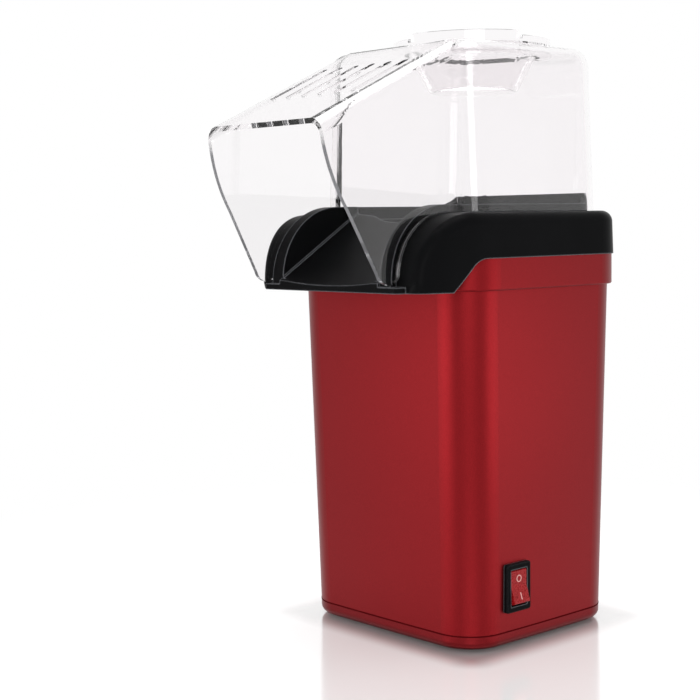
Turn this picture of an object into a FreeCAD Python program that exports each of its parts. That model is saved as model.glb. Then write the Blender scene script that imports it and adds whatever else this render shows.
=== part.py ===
"""Small hot-air popcorn maker: red body column, black top with a pouring spout, clear cover.

Units are millimetres.  +Z is up, +X is the side that carries the switch and -Y is the front,
where the spout pours.  The pieces are drawn about the axis of the body column, and on export
they move along Y so that the origin is the middle of the whole footprint, on the floor.
"""
import FreeCAD
import Part
import math
import os

V = FreeCAD.Vector
UP = V(0, 0, 1)
REARWARD = V(0, 1, 0)

# ---------------------------------------------------------------- body column
BODY_TOP_W = 112.0          # width (X) of the column where the collar begins
BODY_TOP_D = 102.0          # depth (Y) there
BODY_LOW_W = 107.0          # width at the seam with the base
BODY_LOW_D = 96.0
BODY_CORNER = 18.0          # corner radius in plan
BODY_BULGE = 0.6            # how far each side bows out at its middle
BODY_WALL = 2.2
SEAM_Z = 7.0                # seam between base cover and column
COLLAR_Z = 153.0            # foot of the collar band
SKIRT_Z = 166.4             # foot of the black housing at the sides and rear
FRONT = -BODY_TOP_D / 2     # front face of the column; the spout and cover are placed from it
FAR = 300.0                 # longer than the whole part, for tools that cut right through
OVER = 1.0                  # how far a cutting tool runs past the face that it opens
NEAR = 0.01                 # two heights closer than this are the same

# ---------------------------------------------------------------- base
FOOT_H = 3.0
FOOT_R = 6.0
FOOT_GAP = 0.1              # foot to its recess
FOOT_PROUD = 0.8            # gap between floor and base cover
FOOT_X = BODY_LOW_W / 2 - 17.5
FOOT_Y = BODY_LOW_D / 2 - 18.0
FOOT_ROUND = 0.5
BASE_ROUND = 3.5            # round at the foot of the base cover
BASE_PLATE = 2.5
BASE_LIP = 6.0              # locating lip that stands up inside the column
LIP_GAP = 0.15
BASE_LIP_WALL = 1.6
INTAKE_SLOT_W = 3.2
INTAKE_PITCH = 6.4

# ---------------------------------------------------------------- collar and upper housing
COLLAR_PROUD = 2.0          # collar stands proud of the column, each side
COLLAR_ROUND = 0.8          # round at its foot
DIAG_LOW = FRONT - 7.8      # the housing's lower edge slopes up from here, at the collar's foot
DIAG_BEND = FRONT + 1.5     # where it starts to turn level
DIAG_BEND_Z = SKIRT_Z - 3.7
DIAG_END = FRONT + 9.5      # where it is level
DIAG_LAP = 3.0              # the collar runs on under the housing by this much
HOUSING_PROUD = 0.6         # housing stands proud of the collar at its foot, each side
SKIRT_LEAN = 0.75           # and leans in by this much up to the deck
DECK_Z = 185.5              # top of the shoulder, where the cover sits
DECK_ROUND = 5.0            # round of the shoulder's edge at the deck
ARM_ROUND = 9.0             # and where it comes down at the front
HOUSING_WALL = 2.4
ARM_Y = FRONT + 6.0         # shoulder and arms come down along a quarter round about this line
ARM_Z = 157.0
HOOD_HALF = BODY_TOP_W / 2 - 6.7    # half width of the shoulder at its very front
HOOD_TURN = 5.0             # its sides draw in from this far behind the quarter round's centre line
RIM_TOP = 188.8             # raised rim inside the cover
RIM_REAR_TOP = 193.5
RIM_WALL = 3.0
RIM_LEAN = 0.5              # the rim leans in by this much, each side
BOWL_Z = 183.0              # floor of the wide bowl inside the rim
LIP_Y = FRONT - 27.0        # front edge of the spout's lip
LIP_HALF = BODY_TOP_W / 2 - 13.0
LIP_CORNER_R = 3.0
CHUTE_LIP_Z = 155.6         # chute floor at the lip
CHUTE_TOP_Z = 180.5         # chute floor where it meets the chamber
CHUTE_TOP_Y = FRONT + 13.0
CHUTE_FLOOR_T = 3.2         # under the middle of the dish
CHUTE_DISH_R = 300.0        # the floor is dished by this radius
CHUTE_BEAD_R = 0.6          # bead along each side of the chute's floor

# ---------------------------------------------------------------- clear cover
COVER_WALL = 2.0
COVER_GAP = 0.4             # cover to rim, all round
COVER_TOP_Z = 257.5
COVER_LOW_W = BODY_TOP_W - 14.0     # dome width at the shoulder
COVER_TOP_W = COVER_LOW_W - 6.4     # dome width at its top
COVER_REAR_LOW = BODY_TOP_D / 2 - 3.5
COVER_REAR_TOP = COVER_REAR_LOW - 0.3
COVER_CORNER = 15.0
COVER_EDGE_R = 8.0
DOME_FRONT_R = 10.0
CHUTE_EDGE_R = 6.5
DOME_FRONT = FRONT + 12.0   # where the wide dome steps in to the chute
CREASE_Y = FRONT + 16.0     # flat top ends here and the chute roof slopes down
MOUTH_Y = FRONT - 60.3      # top edge of the mouth
MOUTH_TOP_Z = 222.5
MOUTH_MID = (FRONT - 56.0, 202.0)   # the mouth's side edge bows through this point
MOUTH_BEND = (FRONT - 48.5, 187.0)  # and runs straight from here
MOUTH_LOW = (FRONT - 34.2, 161.0)   # to here, where its rounded tip begins
TIP_LOW = (FRONT - 28.3, 156.6)     # lowest point of that tip
TIP_REAR_Z = 160.0          # the tip ends against the shoulder at this height
CHUTE_HALF_LOW = BODY_TOP_W / 2 - 16.1      # half width of the cover's chute low down
CHUTE_HALF_TOP_REAR = CHUTE_HALF_LOW - 2.9  # and at its roof, beside the dome
CHUTE_HALF_TOP_FRONT = CHUTE_HALF_LOW - 5.7
CHUTE_HALF = CHUTE_HALF_LOW - 9.6   # clear half width of the chute between the arms
TAPER_OUT = 20.0            # cutting tools run this far past the chute's ends
ROOF_EDGE_MIN = 30.0        # edges of the roof are longer than this
ROOF_SLOTS = 6
ROOF_SLOT_W = 3.2
ROOF_SLOT_PITCH = 10.2
ROOF_SLOT_START = 0.34      # share of the roof's length, measured from the mouth
ROOF_SLOT_END = 0.75
COVER_LIFT_GAP = 0.3        # cover to shoulder at rest
WELL_R = COVER_LOW_W / 2 - 8.6      # funnel of the well at its top

# ---------------------------------------------------------------- measuring cup
CUP_R = 35.6                # outer radius of its upstanding rim
CUP_Y = COVER_REAR_TOP - CUP_R
CUP_RIM_Z = COVER_TOP_Z + 4.5
CUP_CROWN_Z = COVER_TOP_Z + 6.5     # two raised stretches of the rim, to grip
CUP_WALL = 1.6
CUP_BOWL_R = 29.5           # outer radius where the bowl passes the cover
CUP_FLOOR_R = 20.0
CUP_FLOOR_Z = COVER_TOP_Z - 18.0
CUP_HOLE_GAP = 0.6
CUP_SEAT_GAP = 0.3
CUP_CROWN_SPAN = 84.0       # degrees
CUP_CROWN_TURN = -53.5
CUP_NOTCH_SPAN = 3.0        # short notch at each end of a grip
CUP_NOTCH_DEEP = 1.5
CUP_FLOOR_ROUND = 3.0

# ---------------------------------------------------------------- popping chamber and heater
THERMO_R = 6.6
THERMO_DEEP = 6.8           # thermostat from the duct to its terminals
ROOM_X = min(BODY_TOP_W, BODY_LOW_W) / 2 - BODY_WALL    # clear half width inside the column
ROOM_Y = min(BODY_TOP_D, BODY_LOW_D) / 2 - BODY_WALL
DUCT_R = min(ROOM_Y - 2.3, ROOM_X - THERMO_DEEP - 1.0)  # inner radius of the duct round the chamber
DUCT_WALL = 0.8
DUCT_LOW_Z = 78.0
DUCT_BEAD_R = 0.9
DUCT_BEAD_UP = 8.0
CHAMBER_Y = 1.0
CHAMBER_R = DUCT_R - 9.5    # inner radius
CHAMBER_WALL = 0.8
CHAMBER_RIM_Z = 172.0       # underside of the housing's well, where the chamber's rim is held
CHAMBER_FLANGE_R = CHAMBER_R + 6.0
CHAMBER_FLOOR_Z = 108.0
CHAMBER_DISH = 4.0
CHAMBER_HEEL = 8.0          # the floor turns up this far in from the wall
CHAMBER_HEEL_RISE = 0.4     # and has risen by this share of the dish there
LOUVRES = 18
LOUVRE_Z = 113.0
LOUVRE_H = 9.0
LOUVRE_W = 1.6
LOUVRE_TILT = 25.0          # degrees off upright
RING_H = 2.0
RING_GAP = 0.3
WASHER_H = 1.5
WASHER_LAP = 2.0            # washer beyond the chamber's flange
RING_SCREW_L = 9.0
RING_SCREW_R = DUCT_R + 4.5     # circle of the ring's screws
LUG_R = 4.5
COIL_RADII = (DUCT_R - 13.5, DUCT_R - 23.5)
COIL_R = 2.2
COIL_SIDES = 8
COIL_Z = 91.0
MICA_T = 0.8
MICA_LOW_Z = 82.5
MICA_TOP_Z = 98.0
THERMO_Z = 128.0
THERMO_RIM = 1.4
BLADE_T = 0.8               # thermostat's push-on terminals
BLADE_W = 3.2
BLADE_L = 11.0
BLADE_APART = 8.0
TIGHT = 0.05                # gap between pieces that touch round one another
FUSE_R = 2.0
FUSE_L = 11.0
LEAD_R = 0.5
LEAD_L = 5.0

# ---------------------------------------------------------------- motor and fan
FAN_HOUSING_R = DUCT_R + 1.5
FAN_FLOOR_Z = 55.0
DUCT_SEAT_H = 4.0           # the tray's wall holds the duct's foot over this height
DUCT_SEAT_IN = 1.2
FAN_WALL = 2.0
FAN_R = DUCT_R - 9.5
FAN_HUB_R = 8.0
FAN_HUB_LOW_R = 5.6
FAN_BOW_R = 0.9 * FAN_R     # radius of the blades' curve
FAN_BLADES = 7
FAN_BLADE_T = 1.0
FAN_PLATE_Z = 71.0
FAN_BLADE_H = 13.0
FAN_PLATE_H = 1.4
INLET_R = 0.6 * FAN_HOUSING_R   # air inlet under the fan, and the field of slots in the base
INLET_ARM = 5.0             # arms that carry the motor across the inlet
POST_OUT = 0.55 * FAN_HOUSING_R  # posts under the fan housing, from its centre along X and Y
POST_R = 4.0
POST_SCREW_L = 10.0
SHAFT_R = 1.15
SHAFT_GAP = 0.05
SHAFT_LOW_Z = 24.0
SHAFT_OUT = 2.0             # shaft above the fan's plate
MOTOR_R = 13.8
MOTOR_FLAT = 2.0            # depth of the flats on the can's sides
MOTOR_ROUND = 1.5
MOTOR_LOW_Z = 22.0
MOTOR_CAP_H = 3.0
MOTOR_SCREW_R = 8.0
MOTOR_THREAD_R = 1.15
MOTOR_HEAD_R = 2.0
TAB_W = 4.8                 # solder tabs of the motor
TAB_T = 0.8
TAB_L = 6.0
TAB_Y = 8.0
BOARD_W = 26.0
BOARD_D = 22.0
BOARD_T = 1.6
BOARD_GAP = 0.2             # slits round the motor's tabs
DIODE_R = 1.5
DIODE_L = 5.0
DIODE_PITCH = 5.0
DIODES = 4

# ---------------------------------------------------------------- rocker switch
SWITCH_Y = 27.5 - BODY_LOW_D / 2
SWITCH_Z = 26.0
BEZEL_L = 21.0              # long side, upright
BEZEL_W = 15.0
BEZEL_PROUD = 2.0
BEZEL_CORNER = 1.2
BEZEL_ROUND = 0.6
SWITCH_BODY_L = 18.6
SWITCH_BODY_W = 12.8
SWITCH_BODY_DEEP = 14.0
PANEL_GAP = 0.25
ROCKER_L = 15.0
ROCKER_W = 9.6
ROCKER_GAP = 0.3
ROCKER_TRAVEL = 18.0        # degrees between off and on
ROCKER_PIVOT_R = 1.2
ROCKER_PIN = 1.0            # length of each pivot pin beyond the rocker's side
ROCKER_PIVOT_OUT = -0.5     # pivot against the column's face
ROCKER_END_OUT = 3.5        # rocker's ends above its pivot
ROCKER_MID_OUT = 2.3
ROCKER_ROUND = 0.8
ROCKER_SIDE_IN = 1.0        # depth of its sides below the pivot
ROCKER_DEEP = 3.6           # and of its belly
ROCKER_BELLY = 0.55         # share of its length that is flat below
POCKET_DEEP = 6.5
TERMINAL_W = 4.8
TERMINAL_T = 0.8
TERMINAL_L = 8.0
TERMINAL_PITCH = 6.0

# ---------------------------------------------------------------- fasteners and gland
BASE_SCREW_X = 20.0
BASE_SCREW_Y = BODY_LOW_D / 2 - 11.0
BASE_SCREW_L = 12.0
BASE_BOSS_TOP = 30.0
TOP_SCREW_IN = 11.6         # housing screws, in from the column's sides at its top
TOP_SCREW_X = BODY_TOP_W / 2 - TOP_SCREW_IN
TOP_SCREW_Y = BODY_TOP_D / 2 - TOP_SCREW_IN
TOP_SCREW_BITE = 8.0
TOP_BOSS_H = 14.0
TOP_WEB = 9.0
RIB_HALF = 1.2
SCREW_R = 1.5
THREAD_BITE = 0.05          # pilot holes are smaller than the screw's clearance by this
SCREW_HEAD_R = 2.9
SCREW_HEAD_H = 1.8
SCREW_SUNK = 1.1            # depth of the base screws' heads in the base cover
DRIVE_W = 0.6               # slot in a screw's head
DRIVE_DEEP = 0.7
BOSS_R = 3.6
GLAND_Z = 21.0
GLAND_R = 5.0
GLAND_BORE_R = 3.4
GLAND_FLANGE_R = 7.2
GLAND_PROUD = 3.0
GLAND_ROUND = 1.0
GLAND_DEEP = 8.0
GLAND_NUT_H = 2.5
GLAND_NUT_IN = 1.0          # nut to the wall's inner face

# the whole part moves by this much so that its footprint is centred on the origin
REAR_REACH = BODY_TOP_D / 2 + COLLAR_PROUD + HOUSING_PROUD
SHIFT_Y = -(MOUTH_Y + REAR_REACH) / 2


# ================================================================ helpers
def column(z0, w0, d0, z1, w1, d1, corner, bulge=0.0, y0=0.0):
    """Tapered column: four sides that bow out by bulge, upright edges rounded."""
    wires = []
    for z, w, d in ((z0, w0, d0), (z1, w1, d1)):
        hw, hd = w / 2, d / 2
        hx, hy = hw - bulge, hd - bulge
        pts = [V(hx, y0 - hy, z), V(hx, y0 + hy, z), V(-hx, y0 + hy, z), V(-hx, y0 - hy, z)]
        mids = [V(hw, y0, z), V(0, y0 + hd, z), V(-hw, y0, z), V(0, y0 - hd, z)]
        edges = []
        for i in range(4):
            a, b, m = pts[i], pts[(i + 1) % 4], mids[i]
            if bulge > 0:
                edges.append(Part.Arc(a, m, b).toShape())
            else:
                edges.append(Part.makeLine(a, b))
        wires.append(Part.Wire(edges))
    solid = Part.makeLoft(wires, True, True)
    upright = [e for e in solid.Edges if e.BoundBox.ZLength > 0.8 * (z1 - z0)]
    return solid.makeFillet(corner, upright)


def plan_wire(half, front, rear, r_front, r_rear, z):
    """Level outline between x = -half and half, front and rear, with rounded corners."""
    corners = [(half, front, r_front), (half, rear, r_rear), (-half, rear, r_rear), (-half, front, r_front)]
    centre_y = (front + rear) / 2
    ends = []
    for x, y, r in corners:
        sx, sy = math.copysign(1, x), math.copysign(1, y - centre_y)
        side = V(x, y - sy * r, z)
        face = V(x - sx * r, y, z)
        d = r * (1 - math.sqrt(0.5))
        ends.append((side, V(x - sx * d, y - sy * d, z), face))
    (s0, m0, f0), (s1, m1, f1), (s2, m2, f2), (s3, m3, f3) = ends
    edges = [Part.Arc(f0, m0, s0).toShape(), Part.makeLine(s0, s1), Part.Arc(s1, m1, f1).toShape(),
             Part.makeLine(f1, f2), Part.Arc(f2, m2, s2).toShape(), Part.makeLine(s2, s3),
             Part.Arc(s3, m3, f3).toShape(), Part.makeLine(f3, f0)]
    return Part.Wire(edges)


def side_prism(points, half_x, arcs=()):
    """Prism along X whose outline lies in the YZ plane.

    arcs maps the index of a segment to the point that its arc passes through.
    """
    arcs = dict(arcs)
    edges = []
    pts = [V(-half_x, y, z) for y, z in points]
    for i, a in enumerate(pts):
        b = pts[(i + 1) % len(pts)]
        if i in arcs:
            y, z = arcs[i]
            edges.append(Part.Arc(a, V(-half_x, y, z), b).toShape())
        else:
            edges.append(Part.makeLine(a, b))
    return Part.Face(Part.Wire(edges)).extrude(V(2 * half_x, 0, 0))


def tube(r_out, r_in, z0, z1, y0=0.0, x0=0.0):
    """Ring or sleeve about an upright axis."""
    body = Part.makeCylinder(r_out, z1 - z0, V(x0, y0, z0))
    return body.cut(Part.makeCylinder(r_in, z1 - z0 + 2, V(x0, y0, z0 - 1)))


def box(x0, x1, y0, y1, z0, z1):
    """Box between six planes."""
    return Part.makeBox(x1 - x0, y1 - y0, z1 - z0, V(x0, y0, z0))


def revolve(points, y0=0.0):
    """Solid of revolution about the upright line x = 0, y = y0 from (radius, z) points."""
    pts = [V(r, y0, z) for r, z in points]
    face = Part.Face(Part.makePolygon(pts + [pts[0]]))
    return face.revolve(V(0, y0, 0), UP, 360)


def fuse(first, *rest):
    """Union of all the shapes, cleaned of split faces."""
    out = first.fuse(list(rest)) if rest else first
    return out.removeSplitter()


def group(shapes):
    """Several separate solids that share one node."""
    return Part.makeCompound(shapes)


def lean(z):
    """Half width and half depth that the column has lost at height z, against its top."""
    t = (COLLAR_Z - z) / (COLLAR_Z - SEAM_Z)
    return (BODY_TOP_W - BODY_LOW_W) / 2 * t, (BODY_TOP_D - BODY_LOW_D) / 2 * t


# ================================================================ red body
def body_outer(grow=0.0):
    """Outer form of the column, larger all round by grow."""
    return column(SEAM_Z, BODY_LOW_W + 2 * grow, BODY_LOW_D + 2 * grow,
                  COLLAR_Z, BODY_TOP_W + 2 * grow, BODY_TOP_D + 2 * grow,
                  BODY_CORNER + grow, BODY_BULGE)


def wall_x(z):
    """Outer face of the column's +X side at height z, at its middle."""
    return BODY_TOP_W / 2 - lean(z)[0]


def wall_y(z):
    """Outer face of the column's rear at height z, at its middle."""
    return BODY_TOP_D / 2 - lean(z)[1]


def body_shell():
    outer = body_outer()
    shell = outer.cut(body_outer(-BODY_WALL))
    for sx in (-1, 1):
        for sy in (-1, 1):
            x, y = sx * BASE_SCREW_X, sy * BASE_SCREW_Y
            boss = tube(BOSS_R, SCREW_R, FOOT_PROUD + BASE_PLATE, BASE_BOSS_TOP, y, x)
            y_wall = sy * wall_y(BASE_BOSS_TOP)
            y0, y1 = sorted((y + sy * (BOSS_R + SCREW_R) / 2, y_wall))
            rib = box(x - RIB_HALF, x + RIB_HALF, y0, y1, SEAM_Z + BASE_LIP + OVER, BASE_BOSS_TOP)
            shell = shell.fuse([boss, rib.common(outer)])
            x, y = sx * TOP_SCREW_X, sy * TOP_SCREW_Y
            boss = Part.makeCylinder(BOSS_R, TOP_BOSS_H, V(x, y, COLLAR_Z - TOP_BOSS_H))
            web = box(-TOP_WEB, TOP_WEB, -RIB_HALF, RIB_HALF, COLLAR_Z - TOP_BOSS_H, COLLAR_Z)
            web.rotate(V(0, 0, 0), UP, 45 * sx * sy)
            web.translate(V(x, y, 0))
            hole = Part.makeCylinder(SCREW_R, TOP_BOSS_H + 2 * OVER, V(x, y, COLLAR_Z - TOP_BOSS_H - OVER))
            shell = shell.fuse([boss, web.common(outer)]).cut(hole)
    cut_l, cut_w = SWITCH_BODY_L / 2 + PANEL_GAP, SWITCH_BODY_W / 2 + PANEL_GAP
    shell = shell.cut(box(wall_x(SWITCH_Z) - 4 * BODY_WALL, wall_x(SWITCH_Z) + 4 * BODY_WALL,
                          SWITCH_Y - cut_w, SWITCH_Y + cut_w, SWITCH_Z - cut_l, SWITCH_Z + cut_l))
    hole = Part.makeCylinder(GLAND_R, 8 * BODY_WALL, V(0, wall_y(GLAND_Z) - 4 * BODY_WALL, GLAND_Z), REARWARD)
    return shell.cut(hole).removeSplitter()


def diagonal(ahead=0.0):
    """Side outline of what lies behind the housing's sloping front edge, moved forward by ahead."""
    low = DIAG_LOW - ahead
    slope = (DIAG_BEND_Z - COLLAR_Z) / (DIAG_BEND - DIAG_LOW)
    mid = (DIAG_BEND + 0.4 * (DIAG_END - DIAG_BEND) - ahead, DIAG_BEND_Z + 0.68 * (SKIRT_Z - DIAG_BEND_Z))
    points = [(FAR, SKIRT_Z), (DIAG_END - ahead, SKIRT_Z), (DIAG_BEND - ahead, DIAG_BEND_Z), (low, COLLAR_Z),
              (low - OVER / slope, COLLAR_Z - OVER), (FAR, COLLAR_Z - OVER)]
    return side_prism(points, FAR, {1: mid})


def collar_band():
    outer = column(COLLAR_Z, BODY_TOP_W + 2 * COLLAR_PROUD, BODY_TOP_D + 2 * COLLAR_PROUD,
                   SKIRT_Z, BODY_TOP_W + 2 * COLLAR_PROUD, BODY_TOP_D + 2 * COLLAR_PROUD,
                   BODY_CORNER + COLLAR_PROUD, BODY_BULGE)
    foot = [e for e in outer.Edges if e.BoundBox.ZMax < COLLAR_Z + NEAR]
    outer = outer.makeFillet(COLLAR_ROUND, foot)
    inner = column(COLLAR_Z - OVER, BODY_TOP_W - 2 * BODY_WALL, BODY_TOP_D - 2 * BODY_WALL,
                   SKIRT_Z + OVER, BODY_TOP_W - 2 * BODY_WALL, BODY_TOP_D - 2 * BODY_WALL,
                   BODY_CORNER - BODY_WALL, BODY_BULGE)
    return outer.cut(inner).common(diagonal(DIAG_LAP))


def base_ring(inset, z0, z1, round_r):
    """Straight column that follows the seam's outline, rounded at its foot."""
    w, d = BODY_LOW_W - 2 * inset, BODY_LOW_D - 2 * inset
    ring = column(z0, w, d, z1, w, d, BODY_CORNER - inset, BODY_BULGE)
    if round_r:
        ring = ring.makeFillet(round_r, [e for e in ring.Edges if e.BoundBox.ZMax < z0 + NEAR])
    return ring


def base_cover():
    z0 = FOOT_PROUD
    plate = z0 + BASE_PLATE
    pan = base_ring(0, z0, SEAM_Z, BASE_ROUND)
    pan = pan.cut(base_ring(BODY_WALL, plate, SEAM_Z + OVER, BASE_ROUND - BODY_WALL))
    g = BODY_WALL + LIP_GAP
    lip = base_ring(g, plate, SEAM_Z + BASE_LIP, 0)
    lip = lip.cut(base_ring(g + BASE_LIP_WALL, plate - OVER, SEAM_Z + BASE_LIP + OVER, 0))
    pan = pan.fuse(lip)
    slots = []
    count = int(INLET_R // INTAKE_PITCH)
    for i in range(-count, count + 1):
        x = i * INTAKE_PITCH
        half = max(math.sqrt(INLET_R ** 2 - x * x) - INTAKE_SLOT_W, INTAKE_SLOT_W)
        w = INTAKE_SLOT_W / 2
        slots.append(box(x - w, x + w, CHAMBER_Y - half, CHAMBER_Y + half, z0 - OVER, plate + OVER))
    posts, holes = [], []
    for sx in (-1, 1):
        for sy in (-1, 1):
            x, y = sx * FOOT_X, sy * FOOT_Y
            holes.append(Part.makeCylinder(FOOT_R, FOOT_H - FOOT_PROUD, V(x, y, z0)))
            x, y = sx * POST_OUT, CHAMBER_Y + sy * POST_OUT
            posts.append(tube(POST_R, SCREW_R, plate - OVER, FAN_FLOOR_Z - FAN_WALL, y, x))
            x, y = sx * BASE_SCREW_X, sy * BASE_SCREW_Y
            holes.append(Part.makeCylinder(SCREW_R, BASE_PLATE + 2 * OVER, V(x, y, z0 - OVER)))
            holes.append(Part.makeCylinder(SCREW_HEAD_R + FOOT_GAP, SCREW_SUNK, V(x, y, z0)))
    return fuse(pan.cut(slots + holes), *posts)


def rubber_feet():
    feet = []
    for sx in (-1, 1):
        for sy in (-1, 1):
            foot = Part.makeCylinder(FOOT_R - FOOT_GAP, FOOT_H, V(sx * FOOT_X, sy * FOOT_Y, 0))
            low = [e for e in foot.Edges if e.Closed and e.BoundBox.ZMax < NEAR]
            feet.append(foot.makeChamfer(FOOT_ROUND, low))
    return group(feet)


def screw(x, y, z, length, up=True):
    """Pan-head screw: the head's seat is at z and the shank runs up, or down."""
    s = 1 if up else -1
    d = V(0, 0, s)
    top = z - s * SCREW_HEAD_H
    head = Part.makeCylinder(SCREW_HEAD_R, SCREW_HEAD_H, V(x, y, top), d)
    shank = Part.makeCylinder(SCREW_R - THREAD_BITE, length, V(x, y, z), d)
    z0, z1 = sorted((top, top + s * DRIVE_DEEP))
    reach = SCREW_HEAD_R - OVER
    drive = box(x - DRIVE_W / 2, x + DRIVE_W / 2, y - reach, y + reach, z0, z1)
    return head.fuse(shank).cut(drive).removeSplitter()


def base_screws():
    seat = FOOT_PROUD + SCREW_SUNK
    return group([screw(sx * BASE_SCREW_X, sy * BASE_SCREW_Y, seat, BASE_SCREW_L)
                  for sx in (-1, 1) for sy in (-1, 1)])


def housing_screws():
    seat = COLLAR_Z - TOP_BOSS_H
    return group([screw(sx * TOP_SCREW_X, sy * TOP_SCREW_Y, seat, TOP_BOSS_H + TOP_SCREW_BITE)
                  for sx in (-1, 1) for sy in (-1, 1)])


# ================================================================ black upper housing
def shoulder_profile(radius, low_z, rear_y):
    """Side outline shared by shoulder, arms and cover: a quarter round that comes down in front."""
    d = radius * math.sqrt(0.5)
    return ([(rear_y, low_z), (rear_y, ARM_Z + radius), (ARM_Y, ARM_Z + radius), (ARM_Y - radius, ARM_Z),
             (ARM_Y - radius, low_z)], {2: (ARM_Y - d, ARM_Z + d)})


def dish_sag():
    """Height of the dished floor's sides above its middle."""
    return CHUTE_DISH_R - math.sqrt(CHUTE_DISH_R ** 2 - CHUTE_HALF ** 2)


def chute_space():
    """Room above the dished chute floor, between the arms."""
    run = CHUTE_TOP_Y - LIP_Y
    rise = CHUTE_TOP_Z - CHUTE_LIP_Z
    length = math.hypot(run, rise)
    along = V(0, run / length, rise / length)
    start = V(0, LIP_Y, CHUTE_LIP_Z) - along * length
    centre = start + V(0, -along.z, along.y) * CHUTE_DISH_R
    dish = Part.makeCylinder(CHUTE_DISH_R, 3 * length, centre, along)
    slab = box(-CHUTE_HALF, CHUTE_HALF, LIP_Y - OVER - CHUTE_HALF, CHAMBER_Y, COLLAR_Z + OVER, FAR)
    space = dish.common(slab)
    for s in (-1, 1):
        foot = V(s * CHUTE_HALF, LIP_Y - along.z * dish_sag(), CHUTE_LIP_Z + along.y * dish_sag())
        space = space.cut(Part.makeCylinder(CHUTE_BEAD_R, 3 * length, foot - along * length, along))
    return space


def well_spaces():
    """Throat, funnel and bowl that open the housing from its rim down to the chamber."""
    throat = Part.makeCylinder(CHAMBER_R, CHAMBER_R, V(0, CHAMBER_Y, CHAMBER_RIM_Z - CHAMBER_R / 2))
    funnel = Part.makeCone(CHAMBER_R, WELL_R, RIM_TOP - CHAMBER_RIM_Z, V(0, CHAMBER_Y, CHAMBER_RIM_Z))
    inset = COVER_WALL + COVER_GAP + RIM_WALL
    half, rear, front = COVER_LOW_W / 2 - inset, COVER_REAR_LOW - inset, DOME_FRONT + inset
    bowl = column(BOWL_Z, 2 * half - 2, rear - front - 2, RIM_REAR_TOP + OVER, 2 * half, rear - front,
                  COVER_CORNER - inset, 0, (rear + front) / 2)
    return [throat, funnel, bowl]


def hood_wire(z, inset):
    """Plan of the housing: rounded rear corners, sides that curve in towards the spout."""
    half = BODY_TOP_W / 2 + COLLAR_PROUD + HOUSING_PROUD - inset
    rear = REAR_REACH - inset
    front = ARM_Y - (DECK_Z - ARM_Z)
    r = BODY_CORNER + COLLAR_PROUD
    d = r * (1 - math.sqrt(0.5))
    turn_y = ARM_Y + HOOD_TURN
    tip = HOOD_HALF - inset
    draw, length = half - tip, turn_y - front
    bend_r = (draw ** 2 + length ** 2) / (2 * draw)
    mid = half - bend_r + math.sqrt(bend_r ** 2 - length ** 2 / 4)
    edges = []
    for s in (-1, 1):
        edges += [Part.makeLine(V(s * half, turn_y, z), V(s * half, rear - r, z)),
                  Part.Arc(V(s * half, rear - r, z), V(s * (half - d), rear - d, z),
                           V(s * (half - r), rear, z)).toShape(),
                  Part.Arc(V(s * tip, front, z), V(s * mid, (turn_y + front) / 2, z),
                           V(s * half, turn_y, z)).toShape()]
    edges += [Part.makeLine(V(r - half, rear, z), V(half - r, rear, z)),
              Part.makeLine(V(-tip, front, z), V(tip, front, z))]
    return Part.Wire(Part.__sortEdges__(edges))


def mid_point(edge):
    return edge.valueAt((edge.FirstParameter + edge.LastParameter) / 2)


def hood_round(block, radius):
    """Round the block's upper edge: a small round at the deck that grows down the front."""
    doc = FreeCAD.newDocument("rounds")
    base = doc.addObject("Part::Feature", "block")
    base.Shape = block
    wanted = []
    for i, e in enumerate(block.Edges):
        m, box_e = mid_point(e), e.BoundBox
        if box_e.XMin < -OVER and box_e.XMax > OVER and m.y < REAR_REACH - BODY_CORNER:
            continue
        if box_e.ZMin > DECK_Z - NEAR:
            wanted.append((i + 1, DECK_ROUND, DECK_ROUND))
        elif m.z > ARM_Z and abs(math.hypot(m.y - ARM_Y, m.z - ARM_Z) - radius) < NEAR:
            ends = (DECK_ROUND, ARM_ROUND)
            if e.valueAt(e.FirstParameter).z < e.valueAt(e.LastParameter).z:
                ends = (ARM_ROUND, DECK_ROUND)
            wanted.append((i + 1,) + ends)
        elif box_e.ZLength > 1 and box_e.YMax < ARM_Y - radius + NEAR:
            wanted.append((i + 1, ARM_ROUND, ARM_ROUND))
    made = doc.addObject("Part::Fillet", "rounds")
    made.Base = base
    made.Edges = wanted
    doc.recompute()
    out = made.Shape.copy()
    FreeCAD.closeDocument(doc.Name)
    return out


def housing_outer():
    """Skirt, shoulder and the hood round the spout, as one solid block."""
    block = Part.makeLoft([hood_wire(COLLAR_Z, 0), hood_wire(DECK_Z, SKIRT_LEAN)], True, True)
    radius = DECK_Z - ARM_Z
    points, arcs = shoulder_profile(radius, COLLAR_Z - OVER, FAR)
    block = block.common(side_prism(points, FAR, arcs))
    return hood_round(block, radius)


def raised_rim():
    """Rim that stands inside the cover: ring round the well and the two arms in front."""
    inset = COVER_WALL + COVER_GAP
    half, rear, front = COVER_LOW_W / 2 - inset, COVER_REAR_LOW - inset, DOME_FRONT + inset
    ring = column(DECK_Z - HOUSING_WALL, 2 * half, rear - front, RIM_REAR_TOP, 2 * (half - RIM_LEAN),
                  rear - front - 2 * RIM_LEAN, COVER_CORNER - COVER_WALL, 0, (rear + front) / 2)
    rise = RIM_REAR_TOP - RIM_TOP
    y_up = rear - RIM_WALL
    keep = side_prism([(front - OVER, COLLAR_Z), (front - OVER, RIM_TOP), (y_up - 2 * rise, RIM_TOP),
                       (y_up, RIM_REAR_TOP), (FAR, RIM_REAR_TOP), (FAR, COLLAR_Z)],
                      FAR, {2: (y_up - 0.75 * rise, RIM_TOP + 0.28 * rise)})
    points, arcs = shoulder_profile(RIM_TOP - ARM_Z, COLLAR_Z, front + RIM_WALL)
    arms = side_prism(points, FAR, arcs).common(chute_taper(inset))
    return fuse(ring.common(keep), arms)


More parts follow.
